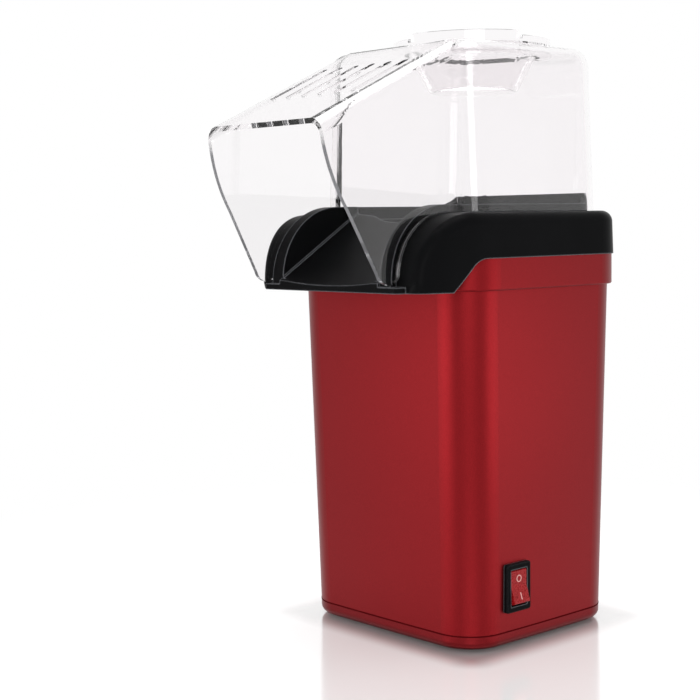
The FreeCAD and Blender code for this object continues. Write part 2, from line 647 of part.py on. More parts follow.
def housing_hollow():
    """Room under the deck: clear of the well's block, the chute's floor and the front."""
    t = HOUSING_WALL
    grow = COLLAR_PROUD + HOUSING_PROUD - t
    w, d = BODY_TOP_W + 2 * grow, BODY_TOP_D + 2 * grow
    hollow = column(COLLAR_Z - OVER, w, d, DECK_Z - t, w - 2 * SKIRT_LEAN, d - 2 * SKIRT_LEAN,
                    BODY_CORNER + grow, BODY_BULGE)
    top = [e for e in hollow.Edges if e.BoundBox.ZMin > DECK_Z - t - NEAR]
    return hollow.makeFillet(DECK_ROUND - t, top)


def upper_housing():
    t = HOUSING_WALL
    slope = (CHUTE_TOP_Z - CHUTE_LIP_Z) / (CHUTE_TOP_Y - LIP_Y)
    lip_z = CHUTE_LIP_Z + dish_sag()
    lip = box(-LIP_HALF, LIP_HALF, LIP_Y, CHAMBER_Y, COLLAR_Z, CHUTE_LIP_Z)
    corner = [e for e in lip.Edges if e.BoundBox.ZLength > OVER and e.BoundBox.YMax < LIP_Y + NEAR]
    lip = lip.makeFillet(LIP_CORNER_R, corner)
    ramp = side_prism([(LIP_Y, COLLAR_Z), (LIP_Y, lip_z), (CHUTE_TOP_Y, CHUTE_TOP_Z + dish_sag()),
                       (CHUTE_TOP_Y, COLLAR_Z)], CHUTE_HALF + OVER)
    body = fuse(housing_outer(), lip, ramp, raised_rim())
    # the well keeps its block, the chute its floor; the front stays solid
    room = housing_hollow()
    inset = COVER_WALL + COVER_GAP
    half, rear, front = COVER_LOW_W / 2 - inset, COVER_REAR_LOW - inset, DOME_FRONT + inset
    well_block = column(CHAMBER_RIM_Z, 2 * half, rear - front, DECK_Z, 2 * half, rear - front,
                        COVER_CORNER, 0, (rear + front) / 2)
    y_end = CHUTE_TOP_Y + (DECK_Z - CHUTE_TOP_Z) / slope
    floor = side_prism([(LIP_Y, CHUTE_LIP_Z - CHUTE_FLOOR_T), (y_end, DECK_Z - CHUTE_FLOOR_T),
                        (y_end, DECK_Z + OVER), (LIP_Y, DECK_Z + OVER)], CHUTE_HALF_LOW)
    hollow = room.cut([well_block, floor, box(-FAR, FAR, -FAR, ARM_Y - t, 0, FAR)])
    pocket = box(-CHUTE_HALF, CHUTE_HALF, LIP_Y + t, FRONT - COLLAR_PROUD - t, 0, FAR).cut(floor)
    pocket = pocket.cut(box(-FAR, FAR, -FAR, FAR, DECK_Z - CHUTE_FLOOR_T, FAR))
    body = body.cut([diagonal(), collar_band(), hollow, pocket, chute_space()] + well_spaces())
    posts = []
    for sx in (-1, 1):
        for sy in (-1, 1):
            post = tube(BOSS_R, SCREW_R - THREAD_BITE, COLLAR_Z, DECK_Z - t,
                        sy * TOP_SCREW_Y, sx * TOP_SCREW_X)
            posts.append(post.common(room.cut(collar_band())))
    pilots = [Part.makeCylinder(SCREW_R - THREAD_BITE, RING_SCREW_L, V(x, y, CHAMBER_RIM_Z - OVER))
              for x, y in ring_lug_places()]
    return fuse(body, *posts).cut(pilots)


# ================================================================ clear cover and cup
def dome(offset):
    """Wide part of the cover, smaller all round by offset."""
    low = COLLAR_Z if offset else DECK_Z + COVER_LIFT_GAP
    slope = (COVER_LOW_W - COVER_TOP_W) / 2 / (COVER_TOP_Z - DECK_Z)
    rear_slope = (COVER_REAR_LOW - COVER_REAR_TOP) / (COVER_TOP_Z - DECK_Z)
    half_low = COVER_LOW_W / 2 - offset + slope * (DECK_Z - low)
    half_top = COVER_TOP_W / 2 - offset
    rear_low = COVER_REAR_LOW - offset + rear_slope * (DECK_Z - low)
    rear_top = COVER_REAR_TOP - offset
    front = DOME_FRONT + offset
    r_front, r_rear = DOME_FRONT_R - offset / 2, COVER_CORNER - offset
    wires = [plan_wire(half_low, front, rear_low, r_front, r_rear, low),
             plan_wire(half_top, front, rear_top, r_front, r_rear, COVER_TOP_Z - offset)]
    solid = Part.makeLoft(wires, True, True)
    top = [e for e in solid.Edges if e.BoundBox.ZMin > COVER_TOP_Z - offset - NEAR]
    return solid.makeFillet(COVER_EDGE_R - offset, top)


def chute_taper(offset):
    """Wedge between the chute's two sides, which lean in upwards and towards the mouth."""
    low, high = COLLAR_Z - OVER, COVER_TOP_Z + OVER
    wires = []
    for y, top in ((CREASE_Y + TAPER_OUT, CHUTE_HALF_TOP_REAR), (MOUTH_Y - TAPER_OUT, CHUTE_HALF_TOP_FRONT)):
        k = (CHUTE_HALF_LOW - top) / (COVER_TOP_Z - ARM_Z)
        a = CHUTE_HALF_LOW - offset + k * (ARM_Z - low)
        b = CHUTE_HALF_LOW - offset - k * (high - ARM_Z)
        pts = [V(-a, y, low), V(a, y, low), V(b, y, high), V(-b, y, high)]
        wires.append(Part.makePolygon(pts + pts[:1]))
    return Part.makeLoft(wires, True, True)


def chute_profile(offset):
    """Side outline of the cover's chute; the inner one, with an offset, runs out past the mouth."""
    run, drop = CREASE_Y - MOUTH_Y, COVER_TOP_Z - MOUTH_TOP_Z
    length = math.hypot(run, drop)
    rear = CREASE_Y + TAPER_OUT
    crease = (CREASE_Y + offset * math.tan(math.atan2(drop, run) / 2), COVER_TOP_Z - offset)
    if offset:
        y, z = MOUTH_Y + drop / length * offset, MOUTH_TOP_Z - run / length * offset
        y, z = y - TAPER_OUT * run / length, z - TAPER_OUT * drop / length
        return [(rear, COLLAR_Z), (rear, COVER_TOP_Z - offset), crease, (y, z), (y, COLLAR_Z)], {}
    radius = DECK_Z - ARM_Z + COVER_LIFT_GAP
    tip = (ARM_Y - math.sqrt(radius ** 2 - (TIP_REAR_Z - ARM_Z) ** 2), TIP_REAR_Z)
    d = radius * math.sqrt(0.5)
    points = [(rear, ARM_Z + radius), (rear, COVER_TOP_Z), crease, (MOUTH_Y, MOUTH_TOP_Z), MOUTH_BEND,
              MOUTH_LOW, tip, (ARM_Y, ARM_Z + radius)]
    return points, {3: MOUTH_MID, 5: TIP_LOW, 6: (ARM_Y - d, ARM_Z + d)}


def chute(offset):
    """Narrow part of the cover, smaller all round by offset."""
    points, arcs = chute_profile(offset)
    solid = side_prism(points, FAR, arcs).common(chute_taper(offset))
    roof = [e for e in solid.Edges if e.BoundBox.YLength > ROOF_EDGE_MIN and mid_point(e).z > MOUTH_TOP_Z
            and abs(mid_point(e).x) > CHUTE_HALF / 2]
    return solid.makeFillet(CHUTE_EDGE_R - offset, roof)


def roof_slots():
    """Long vents that run up the sloping roof."""
    run, drop = CREASE_Y - MOUTH_Y, COVER_TOP_Z - MOUTH_TOP_Z
    length = math.hypot(run, drop)
    tilt = math.degrees(math.atan2(drop, run))
    a, b = ROOF_SLOT_START * length, ROOF_SLOT_END * length
    tools = []
    for i in range(ROOF_SLOTS):
        x = (i - (ROOF_SLOTS - 1) / 2) * ROOF_SLOT_PITCH
        slot = Part.makeBox(ROOF_SLOT_W, b - a, 4 * COVER_WALL)
        ends = [e for e in slot.Edges if e.BoundBox.ZLength > COVER_WALL]
        slot = slot.makeFillet(ROOF_SLOT_W / 2 - NEAR, ends)
        slot.translate(V(x - ROOF_SLOT_W / 2, a, -2 * COVER_WALL))
        slot.rotate(V(0, 0, 0), V(1, 0, 0), tilt)
        slot.translate(V(0, MOUTH_Y, MOUTH_TOP_Z))
        tools.append(slot)
    return tools


def clear_cover():
    t = COVER_WALL
    shell = dome(0).fuse(chute(0)).cut([dome(t), chute(t)])
    hole = Part.makeCylinder(CUP_BOWL_R + CUP_HOLE_GAP, 4 * t, V(0, CUP_Y, COVER_TOP_Z - 2 * t))
    return shell.cut([hole] + roof_slots())


def cup_wedge(span, turn):
    """Upright wedge about the cup's axis, span degrees wide."""
    half = math.radians(span / 2)
    side = 2 * CUP_R * math.tan(half)
    wedge = Part.makePolygon([V(0, 0, 0), V(2 * CUP_R, -side, 0), V(2 * CUP_R, side, 0), V(0, 0, 0)])
    wedge = Part.Face(wedge).extrude(V(0, 0, FAR))
    wedge.rotate(V(0, 0, 0), UP, turn)
    wedge.translate(V(0, CUP_Y, 0))
    return wedge


def measuring_cup():
    """Shallow cup hung in the cover by its flange; two stretches of its rim rise as grips."""
    z0 = COVER_TOP_Z + CUP_SEAT_GAP
    t = CUP_WALL
    outline = [(CUP_R, z0), (CUP_R, CUP_CROWN_Z), (CUP_R - t, CUP_CROWN_Z), (CUP_R - t, z0 + t),
               (CUP_BOWL_R - t, z0 + t), (CUP_FLOOR_R - t, CUP_FLOOR_Z + t), (0, CUP_FLOOR_Z + t),
               (0, CUP_FLOOR_Z), (CUP_FLOOR_R, CUP_FLOOR_Z), (CUP_BOWL_R, z0)]
    cup = revolve(outline, CUP_Y)
    floor = [e for e in cup.Edges if e.Closed and e.BoundBox.ZMax < CUP_FLOOR_Z + NEAR]
    cup = cup.makeFillet(CUP_FLOOR_ROUND, floor)
    low = tube(CUP_R + OVER, CUP_R - t - OVER, CUP_RIM_Z, CUP_CROWN_Z + OVER, CUP_Y)
    notches = tube(CUP_R + OVER, CUP_R - t - OVER, CUP_RIM_Z - CUP_NOTCH_DEEP, CUP_CROWN_Z + OVER, CUP_Y)
    ends = []
    for side in (0, 180):
        turn = side + CUP_CROWN_TURN
        low = low.cut(cup_wedge(CUP_CROWN_SPAN, turn))
        ends += [cup_wedge(CUP_NOTCH_SPAN, turn + s * (CUP_CROWN_SPAN + CUP_NOTCH_SPAN) / 2) for s in (-1, 1)]
    return cup.cut([low] + [notches.common(end) for end in ends])


# ================================================================ chamber, duct, heater
def popping_chamber():
    """Spun cup with a flange and a ring of slanted air slots just above its floor."""
    t, r, z = CHAMBER_WALL, CHAMBER_R, CHAMBER_FLOOR_Z
    top = CHAMBER_RIM_Z - WASHER_H
    turn, step = r - CHAMBER_HEEL, CHAMBER_DISH * CHAMBER_HEEL_RISE
    outline = [(0, z), (turn, z + step), (r, z + CHAMBER_DISH), (r, top), (CHAMBER_FLANGE_R, top),
               (CHAMBER_FLANGE_R, top - t), (r + t, top - t), (r + t, z + CHAMBER_DISH - t),
               (turn + t / 2, z + step - t), (0, z - t)]
    cup = revolve(outline, CHAMBER_Y)
    slots = []
    for i in range(LOUVRES):
        slot = Part.makeBox(CHAMBER_HEEL, LOUVRE_W, LOUVRE_H,
                            V(r - CHAMBER_HEEL / 2, -LOUVRE_W / 2, -LOUVRE_H / 2))
        slot.rotate(V(r, 0, 0), V(1, 0, 0), LOUVRE_TILT)
        slot.rotate(V(0, 0, 0), UP, i * 360.0 / LOUVRES)
        slot.translate(V(0, CHAMBER_Y, LOUVRE_Z + LOUVRE_H / 2))
        slots.append(slot)
    return cup.cut(slots)


def insulation_washer():
    return tube(CHAMBER_FLANGE_R + WASHER_LAP, CHAMBER_R + CHAMBER_WALL,
                CHAMBER_RIM_Z - WASHER_H, CHAMBER_RIM_Z, CHAMBER_Y)


def ring_lug_places():
    d = RING_SCREW_R * math.sqrt(0.5)
    return [(sx * d, CHAMBER_Y + sy * d) for sx in (-1, 1) for sy in (-1, 1)]


def chamber_ring():
    """Clamp ring under the chamber's flange, with four lugs for its screws."""
    top = CHAMBER_RIM_Z - WASHER_H - CHAMBER_WALL
    low = top - RING_H
    out = DUCT_R + DUCT_WALL
    ring = Part.makeCylinder(out, RING_H, V(0, CHAMBER_Y, low))
    for x, y in ring_lug_places():
        lug = Part.makeCylinder(LUG_R, RING_H, V(x, y, low))
        collar = Part.makeCylinder(LUG_R, CHAMBER_RIM_Z - top, V(x, y, top))
        ring = ring.fuse([lug, collar])
    neck = Part.makeCylinder(CHAMBER_R + CHAMBER_WALL + RING_GAP, RING_H + 2 * OVER,
                             V(0, CHAMBER_Y, low - OVER))
    tools = [neck, tube(out + RING_GAP, CHAMBER_R, top, CHAMBER_RIM_Z + OVER, CHAMBER_Y)]
    tools += [Part.makeCylinder(SCREW_R, TOP_BOSS_H, V(x, y, low - OVER)) for x, y in ring_lug_places()]
    return ring.cut(tools).removeSplitter()


def ring_screws():
    seat = CHAMBER_RIM_Z - WASHER_H - CHAMBER_WALL - RING_H
    return group([screw(x, y, seat, RING_SCREW_L) for x, y in ring_lug_places()])


def heater_duct():
    """Rolled sheet sleeve with a bead, between the blower and the clamp ring."""
    low, top = DUCT_LOW_Z, CHAMBER_RIM_Z - WASHER_H - CHAMBER_WALL - RING_H
    out, z = DUCT_R + DUCT_WALL, DUCT_LOW_Z + DUCT_BEAD_UP
    return revolve([(DUCT_R, low), (out, low), (out, z - DUCT_BEAD_R), (out + DUCT_BEAD_R, z),
                    (out, z + DUCT_BEAD_R), (out, top), (DUCT_R, top)], CHAMBER_Y)


def coil_rings(grow=0.0):
    """Closed rings of many-sided section that stand for the coiled wire."""
    rings = []
    step = 2 * math.pi / COIL_SIDES
    out = (COIL_R + grow) / math.cos(step / 2)
    turns = [step * (i + 0.5) for i in range(COIL_SIDES)]
    for r in COIL_RADII:
        rings.append(revolve([(r + out * math.cos(a), COIL_Z + out * math.sin(a)) for a in turns], CHAMBER_Y))
    return rings


def mica_cross():
    """Two crossed sheets that stand in the duct, notched where the coil rings lie."""
    half, t = DUCT_R - RING_GAP, MICA_T / 2
    a = box(-half, half, CHAMBER_Y - t, CHAMBER_Y + t, MICA_LOW_Z, MICA_TOP_Z)
    b = box(-t, t, CHAMBER_Y - half, CHAMBER_Y + half, MICA_LOW_Z, MICA_TOP_Z)
    return fuse(a, b).cut(coil_rings(TIGHT))


def heating_coil():
    return group(coil_rings())


def thermostat():
    x = DUCT_R + DUCT_WALL + TIGHT
    out = V(-1, 0, 0)
    disc = Part.makeCylinder(THERMO_R + THERMO_RIM, THERMO_RIM, V(-x, CHAMBER_Y, THERMO_Z), out)
    can = Part.makeCylinder(THERMO_R, THERMO_DEEP - BLADE_T, V(-x, CHAMBER_Y, THERMO_Z), out)
    blades = [box(-x - THERMO_DEEP, -x - THERMO_DEEP + BLADE_T, y - BLADE_W / 2, y + BLADE_W / 2, THERMO_Z,
                  THERMO_Z + BLADE_L) for y in (CHAMBER_Y - BLADE_APART / 2, CHAMBER_Y + BLADE_APART / 2)]
    return fuse(disc, can, *blades)


def thermal_fuse():
    x = DUCT_R + DUCT_WALL + TIGHT + FUSE_R
    body = Part.makeCylinder(FUSE_R, FUSE_L, V(x, CHAMBER_Y, THERMO_Z - FUSE_L / 2))
    lead = Part.makeCylinder(LEAD_R, FUSE_L + 2 * LEAD_L, V(x, CHAMBER_Y, THERMO_Z - FUSE_L / 2 - LEAD_L))
    return fuse(body, lead)


# ================================================================ blower and motor
def fan_housing():
    """Blower scroll tray: floor with an air inlet and motor plate, wall, and a seat for the duct."""
    r, z = FAN_HOUSING_R, FAN_FLOOR_Z - FAN_WALL
    tray = Part.makeCylinder(r, DUCT_LOW_Z - z + DUCT_SEAT_H, V(0, CHAMBER_Y, z))
    tray = tray.cut([Part.makeCylinder(DUCT_R - DUCT_SEAT_IN, DUCT_LOW_Z, V(0, CHAMBER_Y, FAN_FLOOR_Z)),
                     Part.makeCylinder(DUCT_R + DUCT_WALL + TIGHT, DUCT_LOW_Z, V(0, CHAMBER_Y, DUCT_LOW_Z))])
    inlet = tube(INLET_R, MOTOR_R + MOTOR_ROUND, z - OVER, FAN_FLOOR_Z + OVER, CHAMBER_Y)
    arm = box(-INLET_R - OVER, INLET_R + OVER, -INLET_ARM / 2, INLET_ARM / 2, z - OVER, FAN_FLOOR_Z + OVER)
    for turn in (0, 90):
        across = arm.copy()
        across.rotate(V(0, 0, 0), UP, turn)
        across.translate(V(0, CHAMBER_Y, 0))
        inlet = inlet.cut(across)
    deep = FAN_WALL + 2 * OVER
    holes = [Part.makeCylinder(SHAFT_R + MOTOR_ROUND, deep, V(0, CHAMBER_Y, z - OVER))]
    for sx in (-1, 1):
        x = sx * MOTOR_SCREW_R
        holes.append(Part.makeCylinder(MOTOR_THREAD_R + TIGHT, deep, V(x, CHAMBER_Y, z - OVER)))
        for sy in (-1, 1):
            x, y = sx * POST_OUT, CHAMBER_Y + sy * POST_OUT
            holes.append(Part.makeCylinder(SCREW_R, deep, V(x, y, z - OVER)))
    return tray.cut([inlet] + holes)


def post_screws():
    return group([screw(sx * POST_OUT, CHAMBER_Y + sy * POST_OUT, FAN_FLOOR_Z, POST_SCREW_L, up=False)
                  for sx in (-1, 1) for sy in (-1, 1)])


def motor_can():
    top = FAN_FLOOR_Z - FAN_WALL
    can = Part.makeCylinder(MOTOR_R, top - MOTOR_LOW_Z, V(0, CHAMBER_Y, MOTOR_LOW_Z))
    can = can.makeChamfer(MOTOR_ROUND, [e for e in can.Edges if e.Closed and e.BoundBox.ZMin > top - NEAR])
    for s in (-1, 1):
        x0, x1 = sorted((s * (MOTOR_R - MOTOR_FLAT), s * (MOTOR_R + OVER)))
        can = can.cut(box(x0, x1, -MOTOR_R, MOTOR_R + CHAMBER_Y, MOTOR_LOW_Z - OVER, top - 2 * MOTOR_ROUND))
    return can.cut(Part.makeCylinder(SHAFT_R + SHAFT_GAP, top, V(0, CHAMBER_Y, MOTOR_LOW_Z - OVER)))


def motor_end_cap():
    z = MOTOR_LOW_Z - MOTOR_CAP_H
    cap = Part.makeCylinder(MOTOR_R - MOTOR_FLAT, MOTOR_CAP_H, V(0, CHAMBER_Y, z))
    tabs = [box(-TAB_W / 2, TAB_W / 2, y - TAB_T / 2, y + TAB_T / 2, z - TAB_L, z)
            for y in (CHAMBER_Y - TAB_Y, CHAMBER_Y + TAB_Y)]
    bore = Part.makeCylinder(SHAFT_R + SHAFT_GAP, MOTOR_CAP_H, V(0, CHAMBER_Y, z + OVER))
    return fuse(cap, *tabs).cut(bore)


def motor_screws():
    parts = []
    for x in (-MOTOR_SCREW_R, MOTOR_SCREW_R):
        head = Part.makeCylinder(MOTOR_HEAD_R, MOTOR_THREAD_R, V(x, CHAMBER_Y, FAN_FLOOR_Z))
        shank = Part.makeCylinder(MOTOR_THREAD_R, FAN_WALL, V(x, CHAMBER_Y, FAN_FLOOR_Z - FAN_WALL))
        parts.append(head.fuse(shank))
    return group(parts)


def rectifier_board():
    z = MOTOR_LOW_Z - MOTOR_CAP_H - BOARD_T
    board = box(-BOARD_W / 2, BOARD_W / 2, CHAMBER_Y - BOARD_D / 2, CHAMBER_Y + BOARD_D / 2, z, z + BOARD_T)
    w, d = TAB_W / 2 + BOARD_GAP, TAB_T / 2 + BOARD_GAP
    slits = [box(-w, w, y - d, y + d, z - OVER, z + BOARD_T + OVER)
             for y in (CHAMBER_Y - TAB_Y, CHAMBER_Y + TAB_Y)]
    return board.cut(slits)


def rectifier_diodes():
    z = MOTOR_LOW_Z - MOTOR_CAP_H - BOARD_T - DIODE_R
    return group([Part.makeCylinder(DIODE_R, DIODE_L, V((i - (DIODES - 1) / 2) * DIODE_PITCH,
                                                        CHAMBER_Y - DIODE_L / 2, z), REARWARD)
                  for i in range(DIODES)])


def motor_shaft():
    top = FAN_PLATE_Z + FAN_PLATE_H + SHAFT_OUT
    return Part.makeCylinder(SHAFT_R, top - SHAFT_LOW_Z, V(0, CHAMBER_Y, SHAFT_LOW_Z))


def fan_impeller():
    """Hub, top plate and backward-curved blades, pressed on the motor's shaft."""
    low, top = FAN_PLATE_Z - FAN_BLADE_H, FAN_PLATE_Z + FAN_PLATE_H
    plate = Part.makeCylinder(FAN_R, FAN_PLATE_H, V(0, CHAMBER_Y, FAN_PLATE_Z))
    hub = Part.makeCone(FAN_HUB_LOW_R, FAN_HUB_R, FAN_BLADE_H, V(0, CHAMBER_Y, low))
    reach = Part.makeCylinder(FAN_R - FAN_BLADE_T, FAR, V(0, 0, low - OVER))
    half = box(0, 2 * FAN_R, -FAN_BLADE_T, 2 * FAN_R, low - OVER, top + OVER)
    blades = []
    for i in range(FAN_BLADES):
        blade = tube(FAN_BOW_R + FAN_BLADE_T / 2, FAN_BOW_R - FAN_BLADE_T / 2,
                     low, FAN_PLATE_Z + FAN_PLATE_H / 2, FAN_BOW_R)
        blade = blade.common(reach).common(half)
        blade.rotate(V(0, 0, 0), UP, i * 360.0 / FAN_BLADES)
        blade.translate(V(0, CHAMBER_Y, 0))
        blades.append(blade)
    return fuse(plate, hub, *blades).cut(Part.makeCylinder(SHAFT_R, top, V(0, CHAMBER_Y, low - OVER)))


# ================================================================ rocker switch and cord gland
def switch_axis_x():
    return wall_x(SWITCH_Z) + ROCKER_PIVOT_OUT


def rocker_profile():
    """Corners of the rocker's side outline about its pivot, as (up, out) before it is tipped."""
    u = ROCKER_L / 2 - ROCKER_GAP
    low = u * ROCKER_BELLY
    return [(-u, ROCKER_END_OUT), (0, ROCKER_MID_OUT), (u, ROCKER_END_OUT), (u, -ROCKER_SIDE_IN),
            (low, -ROCKER_DEEP), (-low, -ROCKER_DEEP), (-u, -ROCKER_SIDE_IN)]


def switch_rocker():
    """Rocker in its off position: the upper end pressed in."""
    x, half = switch_axis_x(), ROCKER_W / 2
    pts = [V(x + out, -half, up) for up, out in rocker_profile()]
    body = Part.Face(Part.makePolygon(pts + pts[:1])).extrude(V(0, 2 * half, 0))
    far_x = x + ROCKER_END_OUT - NEAR
    ends = [e for e in body.Edges if e.BoundBox.YLength > half and e.BoundBox.XMin > far_x]
    body = body.makeFillet(ROCKER_ROUND, ends)
    pin = Part.makeCylinder(ROCKER_PIVOT_R, 2 * (half + ROCKER_PIN), V(x, -half - ROCKER_PIN, 0), REARWARD)
    body = fuse(body, pin)
    body.rotate(V(x, 0, 0), REARWARD, -ROCKER_TRAVEL / 2)
    body.translate(V(0, SWITCH_Y, SWITCH_Z))
    return body


def switch_frame():
    """Bezel and body of the snap-in switch, with the pocket that the rocker tips in."""
    face = wall_x(SWITCH_Z)
    bezel = box(face - BEZEL_PROUD, face + BEZEL_PROUD, SWITCH_Y - BEZEL_W / 2, SWITCH_Y + BEZEL_W / 2,
                SWITCH_Z - BEZEL_L / 2, SWITCH_Z + BEZEL_L / 2)
    bezel = bezel.makeFillet(BEZEL_CORNER, [e for e in bezel.Edges if e.BoundBox.XLength > BEZEL_PROUD])
    front = [e for e in bezel.Edges if e.BoundBox.XMin > face + BEZEL_PROUD - NEAR]
    bezel = bezel.makeFillet(BEZEL_ROUND, front).cut(body_outer())
    body = box(face - SWITCH_BODY_DEEP, face + BEZEL_PROUD / 2, SWITCH_Y - SWITCH_BODY_W / 2,
               SWITCH_Y + SWITCH_BODY_W / 2, SWITCH_Z - SWITCH_BODY_L / 2, SWITCH_Z + SWITCH_BODY_L / 2)
    reach = math.hypot(ROCKER_L / 2 - ROCKER_GAP, ROCKER_END_OUT)
    turn = math.atan2(ROCKER_END_OUT, ROCKER_L / 2 - ROCKER_GAP) - math.radians(ROCKER_TRAVEL / 2)
    half_l = reach * math.cos(turn) + ROCKER_GAP
    half_w = ROCKER_W / 2 + ROCKER_GAP
    x = switch_axis_x()
    pocket = box(x - POCKET_DEEP, face + BEZEL_PROUD + OVER, SWITCH_Y - half_w, SWITCH_Y + half_w,
                 SWITCH_Z - half_l, SWITCH_Z + half_l)
    pin_half = ROCKER_W / 2 + ROCKER_PIN + TIGHT
    bore = Part.makeCylinder(ROCKER_PIVOT_R + SHAFT_GAP, 2 * pin_half, V(x, SWITCH_Y - pin_half, SWITCH_Z),
                             REARWARD)
    return fuse(bezel, body).cut([pocket, bore])


def switch_terminals():
    x = wall_x(SWITCH_Z) - SWITCH_BODY_DEEP
    heights = [SWITCH_Z + i * TERMINAL_PITCH for i in (-1, 0, 1)]
    return group([box(x - TERMINAL_L, x, SWITCH_Y - TERMINAL_W / 2, SWITCH_Y + TERMINAL_W / 2,
                      z - TERMINAL_T / 2, z + TERMINAL_T / 2) for z in heights])


def cord_gland():
    """Bushing in the rear wall: flange outside, sleeve through the wall, bore for the lead."""
    y = wall_y(GLAND_Z)
    flange = Part.makeCylinder(GLAND_FLANGE_R, GLAND_PROUD + BODY_WALL, V(0, y - BODY_WALL, GLAND_Z),
                               REARWARD)
    rim = [e for e in flange.Edges if e.Closed and e.BoundBox.YMin > y + GLAND_PROUD - NEAR]
    flange = flange.makeChamfer(GLAND_ROUND, rim).cut(body_outer())
    sleeve_y = y + OVER / 2 - GLAND_DEEP
    sleeve = Part.makeCylinder(GLAND_R - TIGHT, GLAND_DEEP, V(0, sleeve_y, GLAND_Z), REARWARD)
    nut_y = y - BODY_WALL - GLAND_NUT_IN - GLAND_NUT_H
    nut = Part.makeCylinder(GLAND_FLANGE_R, GLAND_NUT_H, V(0, nut_y, GLAND_Z), REARWARD)
    bore = Part.makeCylinder(GLAND_BORE_R, 4 * GLAND_DEEP, V(0, y - 2 * GLAND_DEEP, GLAND_Z), REARWARD)
    return fuse(flange, sleeve, nut).cut(bore)


# ================================================================ write the pieces
NODES = [body_shell, collar_band, base_cover, rubber_feet, base_screws, upper_housing, housing_screws,
         popping_chamber, insulation_washer, chamber_ring, ring_screws, heater_duct, mica_cross,
         heating_coil, thermostat, thermal_fuse, fan_housing, post_screws, motor_can, motor_end_cap,
         motor_screws, rectifier_board, rectifier_diodes, motor_shaft, fan_impeller, switch_frame,
         switch_terminals, switch_rocker, cord_gland, clear_cover, measuring_cup]


def main():
    os.makedirs("parts", exist_ok=True)
    for make in NODES:
        shape = make()
        shape.translate(V(0, SHIFT_Y, 0))
        if not shape.isValid():
            print("not valid:", make.__name__)
        shape.exportStep("parts/" + make.__name__ + ".step")
        print(make.__name__, len(shape.Solids), round(shape.Volume))


main()
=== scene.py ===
"""Looks of the hot-air popcorn maker: finishes, small modelled details, light and camera.

Everything is in metres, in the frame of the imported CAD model.  Positions come from the CAD
nodes' boxes and from the named sizes below.
"""
import bpy
import bmesh
import math
from mathutils import Matrix, Vector
from mathutils.bvhtree import BVHTree


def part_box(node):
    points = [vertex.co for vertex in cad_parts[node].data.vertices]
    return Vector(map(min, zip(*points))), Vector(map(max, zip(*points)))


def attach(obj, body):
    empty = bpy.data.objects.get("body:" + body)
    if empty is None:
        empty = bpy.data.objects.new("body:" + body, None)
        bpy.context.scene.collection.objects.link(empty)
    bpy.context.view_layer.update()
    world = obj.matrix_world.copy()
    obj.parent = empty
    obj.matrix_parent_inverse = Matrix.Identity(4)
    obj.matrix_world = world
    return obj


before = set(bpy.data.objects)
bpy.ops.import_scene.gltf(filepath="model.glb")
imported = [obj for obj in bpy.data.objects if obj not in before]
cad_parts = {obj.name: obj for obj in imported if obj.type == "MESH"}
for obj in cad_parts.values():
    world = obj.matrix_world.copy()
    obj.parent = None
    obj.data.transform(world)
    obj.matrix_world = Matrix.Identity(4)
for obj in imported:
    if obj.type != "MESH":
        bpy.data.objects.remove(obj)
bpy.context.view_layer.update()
MM = 0.001
SHELL_LOW, SHELL_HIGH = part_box("body_shell")
AXIS_Y = (SHELL_LOW[1] + SHELL_HIGH[1]) / 2     # the body's upright axis stands here, at x = 0
WHITE = (1, 1, 1, 1)

# ---------------------------------------------------------------- thin trim
TRIM_RISE = 0.06 * MM               # the trim's middle layer stands this far off its face
TRIM_THICKNESS = 2 * TRIM_RISE
MARK_STEP = 0.25                    # from the rocker's middle to a mark, share of its height
MARK_RAY = 50 * MM                  # rays towards the rocker start this far outside
RING_OUTER, RING_INNER, RING_STEPS = 1.55 * MM, 1.15 * MM, 40
BAR_HALF_WIDTH, BAR_HALF_HEIGHT = 0.24 * MM, 1.5 * MM
SEAM_HEIGHT = 7.0 * MM              # joint between column and base cover, above the floor
SEAM_TALL = 0.55 * MM
SEAM_STEPS = 240
SEAM_RAY = 200 * MM                 # rays towards the column start this far from its axis

# ---------------------------------------------------------------- finishes
RED_LOW, RED_HIGH = (0.170, 0.0068, 0.0090), (0.203, 0.0088, 0.0116)
BASE_SHADE = 0.82                   # the base cover is a shade deeper than the column
BLACK_LOW, BLACK_HIGH = (0.0042, 0.0043, 0.0047), (0.0054, 0.0055, 0.0060)
# painted highlight colour for the corners of black mouldings, standing in for glancing light
BLACK_EDGE_HIGHLIGHT = (0.165, 0.170, 0.182, 1)
EDGE_HIGHLIGHT_WIDTH = 1.1 * MM              # width of the painted highlight, a lighter band along corners of black mouldings
HIGHLIGHT_FROM, HIGHLIGHT_TO = 0.97, 0.75     # cosine of the corner's turn where the painted highlight starts and is full
BLACK_IOR = 1.075
CLEAR_TINT = (0.955, 0.940, 0.947)
CLEAR_IOR = 1.44
CUT_EDGE_SHADE, CUT_THROUGH = (0.13, 0.13, 0.14), 0.35        # painted shade on the cut edge of the mouth: darker colour, and less of it see-through
CUT_FORWARDS, CUT_DOWN, CUT_SOFT = -0.25, -0.12, 0.1    # its normal's y and z, and their blend
CUT_BEHIND, CUT_AHEAD = 0.02, 0.03  # the edge starts between these, ahead of the body's axis
ROCKER_LOW, ROCKER_HIGH = (0.24, 0.003, 0.005), (0.46, 0.012, 0.016)
MARK_INK = (0.80, 0.40, 0.38)
JOINT_SHADOW = (0.075, 0.003, 0.004)
METAL_SMUDGE, PLASTIC_CLOUD = 0.82, 0.85    # darkest tone, as a share of the colour

